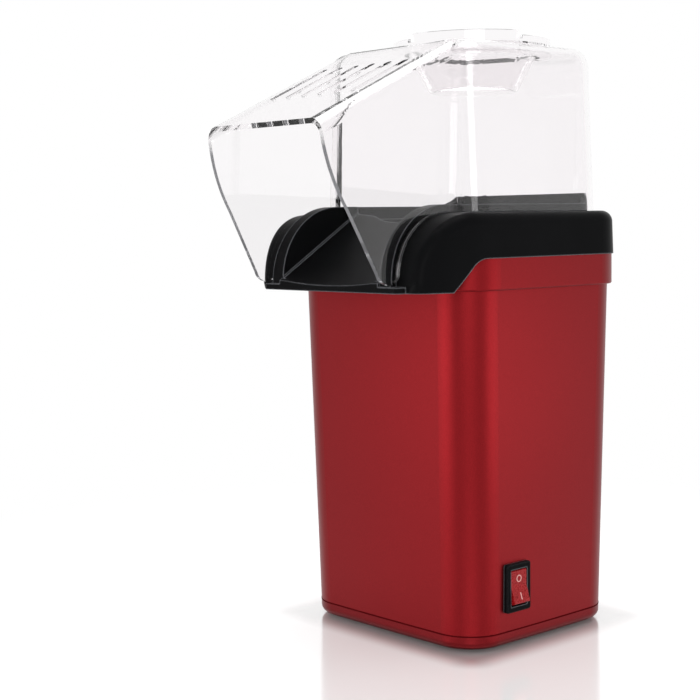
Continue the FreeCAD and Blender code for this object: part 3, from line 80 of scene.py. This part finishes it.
# ---------------------------------------------------------------- stage
WORLD_LIGHT = 0.5           # even light from all round
LIGHT_BOUNCES = 32          # enough for rays that run along inside the clear walls
FLOOR_SIZE = 4.0
FLOOR_COLOUR = (0.80, 0.80, 0.80, 1)
FLOOR_LIFT = 0.52           # what the floor adds towards white where it is seen
FLOOR_GLOSS = 0.36          # share of the floor's reflection
FLOOR_ROUGHNESS = 0.14
CONTACT_SHADED_LIFT, CONTACT_GLOSS = 0.14, 0.66    # the same two right beside the base; the lower lift there paints a contact shadow over the real one
CONTACT_REACH = 0.016
FLOOR_NEAR, FLOOR_FAR = 0.16, 0.36  # from the body's axis: the floor fades out to plain white
LAMP_AIM, LOW_LAMP_AIM = 0.13, 0.09     # heights on the axis that the lamps look at

# ---------------------------------------------------------------- camera
CAMERA_AZIMUTH = math.radians(48.16)    # from the front towards the switch side
CAMERA_PITCH = math.radians(5.09)
CAMERA_ROLL = math.radians(-0.84)
CAMERA_DISTANCE = 0.6716
CAMERA_AIM = Vector((-0.0326, AXIS_Y - 0.0362, 0.1236))
CAMERA_LENS = 75.43
CAMERA_SENSOR = 36.0
CAMERA_NEAR = 0.01


# ---------------------------------------------------------------- node helpers
class Nodes:
    """Adds nodes to a tree.  A value is a constant or the output socket of another node."""

    def __init__(self, tree):
        self.tree = tree
        tree.nodes.clear()

    def fill(self, node, values):
        """Sets or links a node's inputs, given by name or number."""
        for key, value in values.items():
            if isinstance(value, bpy.types.NodeSocket):
                self.tree.links.new(value, node.inputs[key])
            else:
                node.inputs[key].default_value = value

    def add(self, kind, values=None, **settings):
        node = self.tree.nodes.new(kind)
        for key, value in settings.items():
            setattr(node, key, value)
        self.fill(node, values or {})
        return node

    def math(self, operation, *values):
        return self.add("ShaderNodeMath", dict(enumerate(values)), operation=operation).outputs[0]

    def vector(self, operation, *values, result="Vector"):
        """Vector maths; the result is "Value" where the operation ends in a plain number."""
        node = self.add("ShaderNodeVectorMath", dict(enumerate(values)), operation=operation)
        return node.outputs[result]

    def length(self, vector):
        return self.vector("LENGTH", vector, result="Value")

    def parts(self, vector):
        return self.add("ShaderNodeSeparateXYZ", {"Vector": vector}).outputs

    def remap(self, value, low, high, start=0.0, end=1.0, curve="LINEAR"):
        """Runs from low to high while the value runs from start to end, and is flat beyond."""
        return self.add("ShaderNodeMapRange", {
            "Value": value, "From Min": start, "From Max": end, "To Min": low, "To Max": high,
        }, interpolation_type=curve).outputs["Result"]

    def mix_colours(self, share, first, second):
        """The mix node tells its sockets for colours from the others by number only."""
        node = self.add("ShaderNodeMix", {0: share, 6: first, 7: second}, data_type="RGBA")
        return node.outputs[2]

    def mix_shaders(self, share, first, second):
        return self.add("ShaderNodeMixShader", {0: share, 1: first, 2: second}).outputs[0]

    def background_rays(self):
        """1 for the rays that should see the plain white background."""
        path = self.add("ShaderNodeLightPath").outputs
        straight = self.math("MAXIMUM", path["Is Camera Ray"], path["Is Transmission Ray"])
        return self.math("MAXIMUM", straight, path["Is Glossy Ray"])


class Finish(Nodes):
    """A material with one principled shader.  Noise scales are in waves per metre."""

    def __init__(self, name):
        self.material = bpy.data.materials.new(name)
        self.material.use_nodes = True
        super().__init__(self.material.node_tree)
        self.coords = self.add("ShaderNodeTexCoord").outputs
        self.shader = self.add("ShaderNodeBsdfPrincipled")
        self.add("ShaderNodeOutputMaterial", {"Surface": self.shader.outputs["BSDF"]})

    def looks(self, **values):
        """Fills the shader's sockets; underscores stand for spaces.  Gives the material."""
        self.fill(self.shader, {key.replace("_", " "): value for key, value in values.items()})
        return self.material

    def noise(self, scale, detail=3.0, roughness=0.5, stretch=(1, 1, 1)):
        place = self.add("ShaderNodeMapping", {"Vector": self.coords["Object"], "Scale": stretch})
        return self.add("ShaderNodeTexNoise", {
            "Vector": place.outputs["Vector"], "Scale": scale,
            "Detail": detail, "Roughness": roughness,
        }).outputs["Fac"]

    def blend(self, share, *stops):
        """Colour ramp through two stops of (place, colour)."""
        node = self.add("ShaderNodeValToRGB", {"Fac": share})
        for element, (place, colour) in zip(node.color_ramp.elements, stops):
            element.position = place
            element.color = (*colour, 1)
        return node.outputs["Color"]

    def bump(self, height, strength, distance, normal=None):
        node = self.add("ShaderNodeBump", {
            "Height": height, "Strength": strength, "Distance": distance})
        if normal:
            self.fill(node, {"Normal": normal})
        return node.outputs["Normal"]

    def corner(self, radius):
        """1 on flat faces, less within the radius of a corner."""
        rounded = self.add("ShaderNodeBevel", {"Radius": radius}, samples=6).outputs["Normal"]
        flat = self.add("ShaderNodeNewGeometry").outputs["Normal"]
        return self.vector("DOT_PRODUCT", rounded, flat, result="Value")


# ---------------------------------------------------------------- materials
def metallic_red(name, shade=1.0):
    """Red lacquer with fine metal flake, drawn a little upright: a broad soft gleam."""
    g = Finish(name)
    flake = g.noise(2600.0, detail=1.0)
    drawn = g.noise(420.0, roughness=0.6, stretch=(1, 1, 0.02))
    cloud = g.noise(22.0, detail=2.0)
    low, high = ((red * shade, green, blue) for red, green, blue in (RED_LOW, RED_HIGH))
    lines = g.bump(drawn, strength=0.05, distance=0.05 * MM)
    return g.looks(
        Base_Color=g.blend(flake, (0.30, low), (0.70, high)),
        Roughness=g.remap(cloud, 0.38, 0.44),
        Normal=g.bump(flake, strength=0.10, distance=0.04 * MM, normal=lines),
        Metallic=0.93, Specular_IOR_Level=0.3)


def black_satin(name):
    """Black moulded plastic with a fine spark texture; its corners carry a painted highlight, a
    lighter band.
    """
    g = Finish(name)
    grain = g.noise(1500.0, roughness=0.6)
    cloud = g.noise(30.0)
    face = g.blend(cloud, (0.3, BLACK_LOW), (0.7, BLACK_HIGH))
    # painted highlight: the colour turns lighter along corners, where glancing light would catch
    # them
    edge_highlight = g.remap(g.corner(EDGE_HIGHLIGHT_WIDTH), 0.0, 1.0, HIGHLIGHT_FROM, HIGHLIGHT_TO)
    return g.looks(
        Base_Color=g.mix_colours(edge_highlight, face, BLACK_EDGE_HIGHLIGHT),
        Roughness=g.remap(cloud, 0.27, 0.34),
        Normal=g.bump(grain, strength=0.16, distance=0.08 * MM),
        IOR=BLACK_IOR)


def clear_plastic(name, painted_edge_shade=False):
    """Clear moulded styrene: faint flow waves, a little haze; the cut edges of the mouth carry
    painted shade, darker and less clear.
    """
    g = Finish(name)
    wave = g.noise(24.0, detail=2.0, roughness=0.4, stretch=(1, 1, 0.4))
    haze = g.noise(160.0, detail=4.0, roughness=0.6)
    tint_and_edge_shade, through = (*CLEAR_TINT, 1), 1.0
    if painted_edge_shade:
        # ahead of the dome, the mouth's edge is the only face that looks forwards and down
        normal, place = g.parts(g.coords["Normal"]), g.parts(g.coords["Object"])
        forwards = g.remap(normal["Y"], 0.0, 1.0, CUT_FORWARDS, CUT_FORWARDS - CUT_SOFT)
        down = g.remap(normal["Z"], 0.0, 1.0, CUT_DOWN, CUT_DOWN - CUT_SOFT)
        front = g.remap(place["Y"], 0.0, 1.0, AXIS_Y - CUT_BEHIND, AXIS_Y - CUT_AHEAD)
        edge = g.math("MULTIPLY", g.math("MULTIPLY", forwards, down), front)
        # painted shade: the mouth's cut edge is darkened and made less see-through in the colour
        tint_and_edge_shade = g.blend(edge, (0.0, CLEAR_TINT), (1.0, CUT_EDGE_SHADE))
        through = g.remap(edge, 1.0, CUT_THROUGH)
    return g.looks(
        Base_Color=tint_and_edge_shade, Transmission_Weight=through,
        Roughness=g.remap(haze, 0.0, 0.02),
        Normal=g.bump(wave, strength=0.10, distance=0.4 * MM),
        IOR=CLEAR_IOR)


def plain_metal(name, colour, rough, stretch=(1, 1, 1), scale=400.0):
    """Bare or plated metal with drawn lines and smudges."""
    g = Finish(name)
    lines = g.noise(scale, detail=4.0, roughness=0.6, stretch=stretch)
    smudge = g.noise(45.0)
    dark = tuple(METAL_SMUDGE * c for c in colour)
    return g.looks(
        Base_Color=g.blend(smudge, (0.35, dark), (0.7, colour)),
        Roughness=g.remap(lines, rough * 0.8, rough * 1.25),
        Normal=g.bump(lines, strength=0.15, distance=0.05 * MM),
        Metallic=1.0)


def plain_plastic(name, colour, rough, grain_scale=900.0, gloss=0.5):
    """Moulded part inside the machine, rubber, or the ink of a mark."""
    g = Finish(name)
    grain = g.noise(grain_scale, roughness=0.6)
    cloud = g.noise(60.0)
    dark = tuple(PLASTIC_CLOUD * c for c in colour)
    return g.looks(
        Base_Color=g.blend(cloud, (0.3, dark), (0.75, colour)),
        Roughness=g.remap(grain, rough * 0.9, rough * 1.1),
        Normal=g.bump(grain, strength=0.2, distance=0.1 * MM),
        Specular_IOR_Level=gloss)


def rocker_red(name):
    """Translucent red rocker with fine sparkle grain."""
    g = Finish(name)
    grain = g.noise(1800.0, detail=2.0)
    return g.looks(
        Base_Color=g.blend(grain, (0.35, ROCKER_LOW), (0.7, ROCKER_HIGH)),
        Roughness=g.remap(grain, 0.22, 0.34),
        Normal=g.bump(grain, strength=0.25, distance=0.08 * MM),
        Transmission_Weight=0.12, Specular_IOR_Level=0.12)


def dress_nodes():
    """Every CAD node gets its finish."""
    red = metallic_red("metallic_red")
    base_red = metallic_red("metallic_red_base", BASE_SHADE)
    black = black_satin("black_satin")
    clear = clear_plastic("clear_plastic", painted_edge_shade=True)
    clear_cup = clear_plastic("clear_plastic_cup")
    steel = plain_metal("plated_steel", (0.62, 0.62, 0.60), 0.30)
    drawn = plain_metal("drawn_sheet", (0.60, 0.60, 0.60), 0.34, (1, 1, 14), 120.0)
    spun = plain_metal("spun_aluminium", (0.78, 0.78, 0.79), 0.30, (1, 1, 30), 90.0)
    brass = plain_metal("brass_blade", (0.72, 0.55, 0.28), 0.32)
    wire = plain_metal("resistance_wire", (0.32, 0.28, 0.26), 0.45)
    mica = plain_plastic("mica_sheet", (0.55, 0.46, 0.33), 0.45, 300.0)
    cream = plain_plastic("heat_resistant_moulding", (0.62, 0.60, 0.55), 0.5)
    board = plain_plastic("phenolic_board", (0.36, 0.22, 0.09), 0.55)
    rubber = plain_plastic("rubber", (0.018, 0.018, 0.018), 0.75, 1200.0)
    finishes = {
        "body_shell": red, "collar_band": red, "base_cover": base_red,
        "upper_housing": black, "switch_frame": black, "rectifier_diodes": black,
        "clear_cover": clear, "measuring_cup": clear_cup,
        "switch_rocker": rocker_red("rocker_red"), "switch_terminals": brass,
        "rubber_feet": rubber, "cord_gland": rubber,
        "popping_chamber": spun, "heater_duct": drawn, "chamber_ring": drawn, "motor_can": drawn,
        "base_screws": steel, "housing_screws": steel, "ring_screws": steel,
        "post_screws": steel, "motor_screws": steel, "motor_shaft": steel, "thermostat": steel,
        "heating_coil": wire, "mica_cross": mica, "insulation_washer": mica,
        "fan_housing": cream, "fan_impeller": cream, "motor_end_cap": cream,
        "thermal_fuse": cream, "rectifier_board": board,
    }
    for name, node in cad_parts.items():
        node.data.materials.clear()
        node.data.materials.append(finishes[name])


# ---------------------------------------------------------------- modelled details
def show(name, data):
    """New object in the scene."""
    thing = bpy.data.objects.new(name, data)
    bpy.context.scene.collection.objects.link(thing)
    return thing


def mesh_object(name, form, material):
    """Object made from a bmesh, with one material."""
    mesh = bpy.data.meshes.new(name)
    form.to_mesh(mesh)
    form.free()
    mesh.materials.append(material)
    return show(name, mesh)


def trim_object(name, form, material):
    """A flat form as trim of the common thickness."""
    trim = mesh_object(name, form, material)
    solid = trim.modifiers.new("thickness", "SOLIDIFY")
    solid.thickness = TRIM_THICKNESS
    solid.offset = 0
    return trim


def surface(node):
    """A CAD node's faces, for ray casts."""
    return BVHTree.FromObject(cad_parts[node], bpy.context.evaluated_depsgraph_get())


def mark_on(name, node, body, place, outline, material):
    """Thin raised mark on the +X face of a node: outline in metres, across and up."""
    start = place + Vector((MARK_RAY, 0, 0))
    hit, normal, _, _ = surface(node).ray_cast(start, Vector((-1, 0, 0)))
    across = Vector((0, 1, 0))
    up = normal.cross(across).normalized()
    form = bmesh.new()
    for loop in outline:
        verts = [form.verts.new(hit + across * y + up * z + normal * TRIM_RISE) for y, z in loop]
        for i, vert in enumerate(verts):
            form.edges.new((vert, verts[(i + 1) % len(verts)]))
    bmesh.ops.triangle_fill(form, use_beauty=True, edges=form.edges[:])
    bmesh.ops.recalc_face_normals(form, faces=form.faces[:])
    mark = trim_object(name, form, material)
    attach(mark, body)


def ring_loop(radius):
    turns = [math.tau * i / RING_STEPS for i in range(RING_STEPS)]
    return [(radius * math.cos(turn), radius * math.sin(turn)) for turn in turns]


def rocker_marks():
    """Generic off ring above and on bar below."""
    low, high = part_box("switch_rocker")
    middle = Vector((high[0], (low[1] + high[1]) / 2, (low[2] + high[2]) / 2))
    step = Vector((0, 0, (high[2] - low[2]) * MARK_STEP))
    ink = plain_plastic("mark_ink", MARK_INK, 0.5)
    mark_on("off_ring", "switch_rocker", "rocker", middle + step,
            [ring_loop(RING_OUTER), ring_loop(RING_INNER)], ink)
    y, z = BAR_HALF_WIDTH, BAR_HALF_HEIGHT
    mark_on("on_bar", "switch_rocker", "rocker", middle - step,
            [[(-y, -z), (y, -z), (y, z), (-y, z)]], ink)


def seam_line():
    """Dark joint line where the column stands on the base cover, a hair proud of the wall."""
    wall = surface("body_shell")
    form = bmesh.new()
    rows = []
    for i in range(SEAM_STEPS):
        angle = math.tau * (i + 0.5) / SEAM_STEPS
        out = Vector((math.sin(angle), -math.cos(angle), 0))
        start = Vector((0, AXIS_Y, SEAM_HEIGHT + SEAM_TALL)) + SEAM_RAY * out
        hit, normal, _, _ = wall.ray_cast(start, -out)
        edge = Vector((hit.x, hit.y, SEAM_HEIGHT)) + normal * TRIM_RISE
        rows.append([form.verts.new(edge + Vector((0, 0, rise)))
                     for rise in (-SEAM_TALL / 2, SEAM_TALL / 2)])
    for i, (low, high) in enumerate(rows):
        next_low, next_high = rows[(i + 1) % len(rows)]
        form.faces.new((low, next_low, next_high, high))
    shadow = plain_plastic("joint_shadow", JOINT_SHADOW, 0.7, gloss=0.0)
    line = trim_object("seam_line", form, shadow)
    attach(line, "housing")


# ---------------------------------------------------------------- stage, light, camera
def floor_material():
    """White table: takes the shadow and a soft reflection near the object, with painted contact
    shadow right beside the base, plain white beyond.
    """
    material = bpy.data.materials.new("table_white")
    material.use_nodes = True
    g = Nodes(material.node_tree)
    rays = g.background_rays()
    coords = g.add("ShaderNodeTexCoord").outputs["Object"]

    # distance from the base's rectangle, and from the body's axis
    low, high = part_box("base_cover")
    half = (high[0], (high[1] - low[1]) / 2, 0)
    past = g.vector("SUBTRACT", g.vector("ABSOLUTE", coords), half)
    away = g.length(g.vector("MAXIMUM", past, (0, 0, 0)))
    reach = g.length(coords)

    # painted shadow: the floor's glow is lower right beside the base, darkening the contact
    lift_and_contact_shade = g.remap(away, CONTACT_SHADED_LIFT, FLOOR_LIFT, 0.0, CONTACT_REACH, "SMOOTHSTEP")
    share = g.remap(away, CONTACT_GLOSS, FLOOR_GLOSS, 0.0, CONTACT_REACH, "SMOOTHSTEP")
    fade = g.remap(reach, 0.0, 1.0, FLOOR_NEAR, FLOOR_FAR, "SMOOTHSTEP")
    matt = g.add("ShaderNodeBsdfDiffuse", {"Color": FLOOR_COLOUR}).outputs[0]
    glow = g.add("ShaderNodeEmission", {"Strength": g.math("MULTIPLY", rays, lift_and_contact_shade)}).outputs[0]
    lit = g.add("ShaderNodeAddShader", {0: matt, 1: glow}).outputs[0]
    gloss = g.add("ShaderNodeBsdfGlossy", {
        "Color": WHITE, "Roughness": FLOOR_ROUGHNESS}).outputs[0]
    near = g.mix_shaders(share, lit, gloss)
    white = g.add("ShaderNodeEmission", {"Strength": rays}).outputs[0]
    seen = g.mix_shaders(g.math("MULTIPLY", rays, fade), near, white)
    g.add("ShaderNodeOutputMaterial", {"Surface": seen})
    return material


def make_floor():
    """Large white table top, centred under the body."""
    form = bmesh.new()
    bmesh.ops.create_grid(form, x_segments=1, y_segments=1, size=FLOOR_SIZE)
    floor = mesh_object("table_top", form, floor_material())
    floor.location = (0, AXIS_Y, 0)


def make_world():
    """Even surround: a plain level for light, white where the background itself is seen."""
    world = bpy.data.worlds.new("studio")
    bpy.context.scene.world = world
    world.use_nodes = True
    g = Nodes(world.node_tree)
    light = g.add("ShaderNodeBackground", {"Color": WHITE, "Strength": WORLD_LIGHT}).outputs[0]
    seen = g.add("ShaderNodeBackground", {"Color": WHITE}).outputs[0]
    mixed = g.mix_shaders(g.background_rays(), light, seen)
    g.add("ShaderNodeOutputWorld", {"Surface": mixed})


def area_light(name, azimuth, distance, height, aim, size, watts):
    """Lamp round the body: azimuth in degrees from the front towards the switch side."""
    turn = math.radians(azimuth)
    place = Vector((distance * math.sin(turn), AXIS_Y - distance * math.cos(turn), height))
    data = bpy.data.lights.new(name, "AREA")
    data.shape = "RECTANGLE"
    data.size, data.size_y = size
    data.energy = watts
    lamp = show(name, data)
    lamp.location = place
    look = Vector((0, AXIS_Y, aim)) - place
    lamp.rotation_euler = look.to_track_quat("-Z", "Y").to_euler()
    lamp.visible_camera = False


def make_lights():
    """Two low flat lamps that graze the front and the switch side, broad ones ahead and above."""
    area_light("key_front", azimuth=-16, distance=0.60, height=0.05, aim=LOW_LAMP_AIM,
               size=(0.42, 0.10), watts=0.82)
    area_light("side_fill", azimuth=112, distance=0.60, height=0.05, aim=LOW_LAMP_AIM,
               size=(0.38, 0.10), watts=0.68)
    area_light("corner_fill", azimuth=48, distance=1.4, height=0.25, aim=LAMP_AIM,
               size=(0.7, 1.0), watts=5.5)
    area_light("top_soft", azimuth=0, distance=0.0, height=1.3, aim=LAMP_AIM,
               size=(0.9, 0.9), watts=7.0)


def make_camera():
    """Three-quarter view of the front and the switch side."""
    turn, pitch, roll = CAMERA_AZIMUTH, CAMERA_PITCH, CAMERA_ROLL
    forward = Vector((-math.sin(turn) * math.cos(pitch), math.cos(turn) * math.cos(pitch),
                      -math.sin(pitch)))
    right = Vector((math.cos(turn), math.sin(turn), 0))
    up = right.cross(forward)
    rolled_right = math.cos(roll) * right + math.sin(roll) * up
    rolled_up = math.cos(roll) * up - math.sin(roll) * right
    data = bpy.data.cameras.new("photo_view")
    data.lens = CAMERA_LENS
    data.sensor_width = CAMERA_SENSOR
    data.clip_start = CAMERA_NEAR
    camera = show("photo_view", data)
    matrix = Matrix((rolled_right, rolled_up, -forward)).transposed().to_4x4()
    matrix.translation = CAMERA_AIM - forward * CAMERA_DISTANCE
    camera.matrix_world = matrix
    bpy.context.scene.camera = camera


make_camera()
make_world()
make_lights()
make_floor()
dress_nodes()
rocker_marks()
seam_line()
cycles = bpy.context.scene.cycles
cycles.max_bounces = cycles.transmission_bounces = LIGHT_BOUNCES
cycles.glossy_bounces = cycles.transparent_max_bounces = LIGHT_BOUNCES
bpy.context.scene.view_settings.view_transform = "Standard"
